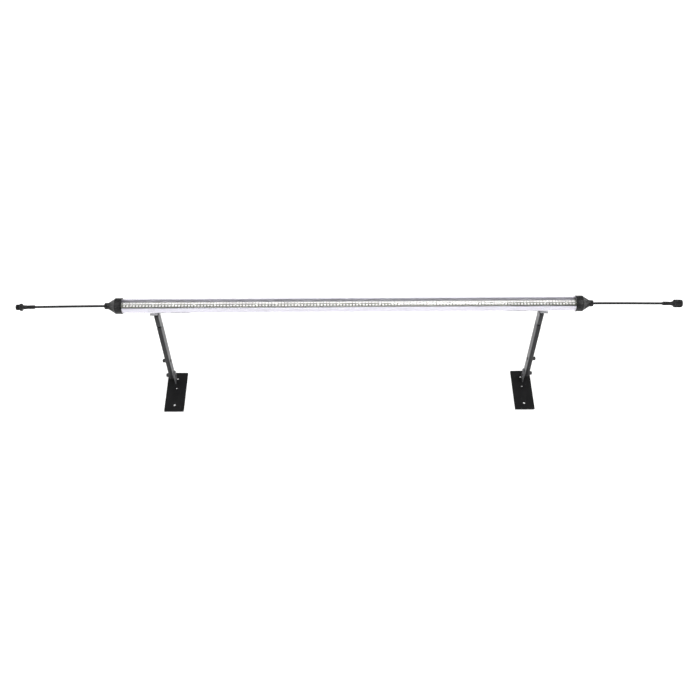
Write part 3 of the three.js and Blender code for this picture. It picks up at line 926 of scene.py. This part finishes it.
def make_end(label, side):
    place = lamp_place(side)
    node = f"end_cap_{label}"
    rim, end = span(node, 0)
    bore_r, neck_r = TUBE_R + 0.2, 5.5
    cone_end, shoulder, tube_end = end - 6, 583.5, 582.4
    profile = [
        [rim, bore_r],
        [rim, 20.2],
        [rim + 0.3, 20.5],
        [rim + 3.2, 20.5],
        [rim + 3.7, 20.2],
        [rim + 4.3, 20.1],
        [rim + 4.8, 20.2, 0.35],
        [shoulder - 3, 20.2, 0.35],
        [shoulder - 2.4, 20.2],
        [shoulder - 1, 20.15],
        [shoulder, 19.7],
        [shoulder + 1, 18.9, 0.3],
        [shoulder + 2, 17.8, 0.9],
        [shoulder + 12, 11.4, 0.9],
        [shoulder + 14, 10.2, 0.3],
        [shoulder + 15, 9.6],
        [cone_end - 1.5, 8.8],
        [cone_end - 0.3, 8.4],
        [cone_end, 8.1],
        [cone_end, neck_r],
        [end, neck_r],
        [end, CORD_R + 0.3],
        [cone_end - 4, CORD_R + 0.3],
        [tube_end, 14],
        [tube_end, bore_r],
    ]
    cap = spun(f"{node}_shell", profile, place, 192, 24)
    fitted(smoothed(cap, 34), "lamp", "cap_black", LOOK["cap"], node)

    node = f"gland_nut_{label}"
    start, end = span(node, 0)
    inside = cone_end + 6.3
    profile = [
        [start, neck_r + 0.3],
        [start, 7.6],
        [start + 0.5, 8.2, 0.3],
        [start + 1, 8.2, 0.55],
        [end - 2.4, 8.2, 0.55],
        [end - 1.6, 7.9, 0.3],
        [end - 0.8, 7.1],
        [end - 0.2, 6],
        [end, 5],
        [end, 3.5],
        [end - 0.3, CORD_R + 0.15],
        [inside, CORD_R + 0.15],
        [inside, neck_r + 0.3],
    ]
    nut = spun(f"{node}_shell", profile, place, 144, 12)
    fitted(smoothed(nut, 34), "lamp", "cap_black", LOOK["cap"], node)
    keep_node(f"cap_gasket_{label}", "rubber")
    keep_node(f"tray_holder_{label}", "cap")


# ---- Connectors ---------------------------------------------------------------------


def barrel(end_r=5.2, waist_r=4.6, long=26):
    """The ribbed tail and smooth waist that both connectors share."""
    profile = [[0, CORD_R + 0.12], [0, 3.7], [0.4, 4.3]]
    for i in range(5):
        x = 1.2 + 2.2 * i
        profile += [[x, 4.9], [x + 1.1, 5.0], [x + 1.3, 4.4], [x + 1.9, 4.4]]
    profile += [[12.6, 4.9], [14, waist_r + 0.2], [17, waist_r], [20, waist_r + 0.15]]
    return profile + [[23, end_r], [long, end_r + 0.15]]


def make_male_plug():
    place = plug_place(-1)
    profile = barrel() + [[30.4, 5.4], [30.8, 5.6], [31, 8.6], [31.4, 9.2, 0.3]]
    profile += [[31.8, 9.4, 0.45], [36.2, 9.4, 0.45], [36.6, 9.2, 0.3], [37, 8.6], [37, 7.0]]
    x = 37.6
    while x < 45.4:
        profile += [[x, 6.7], [x + 0.35, 7.3], [x + 0.75, 7.3], [x + 1.1, 6.7]]
        x += 1.3
    profile += [[46.4, 6.7], [46.8, 6.6], [47, 6.3], [47, 5.4], [46.8, 5.3]]
    profile += [[38, 5.3], [38, CORD_R + 0.12]]
    shell = spun("male_plug_body", profile, place, 120, 30)
    fitted(smoothed(shell, 34), "lamp", "cap_black", LOOK["cap"], "male_plug_shell")
    keep_node("male_pin_insert", "rubber")
    for node in ("male_pin_front", "male_pin_back"):
        y = middle(node).y - ARM_Y
        pin = [[41.2, 0], [41.2, 0.8], [45.8, 0.8], [46.3, 0.6], [46.5, 0.3], [46.5, 0]]
        where = place @ Matrix.Translation((0, -y, 0))
        fitted(smoothed(spun(f"{node}_contact", pin, where, 24), 30), "lamp", "pin_brass",
               LOOK["pin"], node)


def make_female_socket():
    place = plug_place(1)
    profile = barrel(5.3) + [[31.4, 5.45], [31.8, 5.6], [32, 7.2], [32.2, 7.4], [33.8, 7.4]]
    profile += [[34, 7.2], [34, 5.6], [35.8, 5.6], [36, 5.4], [36, CORD_R + 0.12]]
    shell = spun("female_socket_body", profile, place, 96)
    fitted(smoothed(shell, 34), "lamp", "cap_black", LOOK["cap"], "female_socket_shell")
    keep_node("female_pin_insert", "rubber")
    keep_node("socket_seal", "rubber")
    profile = [
        [26, 5.8],
        [26, 6.9],
        [26.3, 7.5],
        [27.2, 8.4],
        [28.2, 9.4],
        [28.8, 9.8, 0.3],
        [29.4, 10, 0.6],
        [45.6, 10, 0.6],
        [46.2, 9.8, 0.3],
        [46.8, 9.4],
        [48.4, 9.4],
        [48.9, 9.1],
        [49, 8.7],
        [49, 8.3],
        [48.6, 7.9],
    ]
    x = 47.6
    while x > 37.5:
        profile += [[x, 7.9], [x - 0.35, 7.45], [x - 0.75, 7.45], [x - 1.1, 7.9]]
        x -= 1.4
    profile += [[31.5, 7.9], [31.5, 5.8]]
    nut = spun("coupling_nut_shell", profile, place, 180, 30)
    fitted(smoothed(nut, 34), "coupling_nut", "cap_black", LOOK["cap"], "coupling_nut")


# ---- Studio -------------------------------------------------------------------------


def make_floor():
    bm = bmesh.new()
    half = 30
    corners = [(-half, -half), (half, -half), (half, half), (-half, half)]
    bm.faces.new([bm.verts.new((x, y, -0.0004)) for x, y in corners])
    floor = add_mesh("floor", bm, Matrix.Identity(4))
    paint = Finish("pale_floor", (0.92, 0.92, 0.92), 0.75)
    paint.tinted(paint.noise(400), (0.925, 0.925, 0.925))
    floor.data.materials.append(paint.material)


def area_light(name, where, size, power, target=(0, 0, 0.15)):
    data = bpy.data.lights.new(name, "AREA")
    data.shape, data.size, data.energy = "DISK", size, power
    light = bpy.data.objects.new(name, data)
    bpy.context.scene.collection.objects.link(light)
    light.location = where
    aim = Vector(target) - Vector(where)
    light.rotation_euler = aim.to_track_quat("-Z", "Y").to_euler()


def make_studio():
    make_floor()
    world = bpy.data.worlds.new("studio")
    world.use_nodes = True
    world.node_tree.nodes["Background"].inputs["Color"].default_value = (1, 1, 1, 1)
    world.node_tree.nodes["Background"].inputs["Strength"].default_value = 0.6
    bpy.context.scene.world = world
    area_light("top_light", (0, -0.6, 3.6), 4.5, 105)
    for way in (-1, 1):
        area_light("side_light", (way * 2.4, 0.5, 0.9), 1.4, 22, (way * -0.4, 0, 0.2))
    area_light("key_light", (0.5, -0.9, 2.4), 0.6, 16)
    area_light("front_fill", (0, -3.2, 1.1), 2, 34)
    bpy.context.scene.view_settings.view_transform = "Standard"


# ---- Everything ---------------------------------------------------------------------

make_camera()
cables = {label: make_cable(label, side) for label, side in SIDES}
for label, side in SIDES:
    make_bracket(label, side)
    make_end(label, side)
make_tube()
make_tray()
make_board()
for row, half_long in LED_HALF_LONG.items():
    make_led_row(f"led_row_{row}", half_long)
make_driver()
keep_node("through_wire_front", "wire")
keep_node("through_wire_back", "wire")
make_male_plug()
make_female_socket()
make_studio()
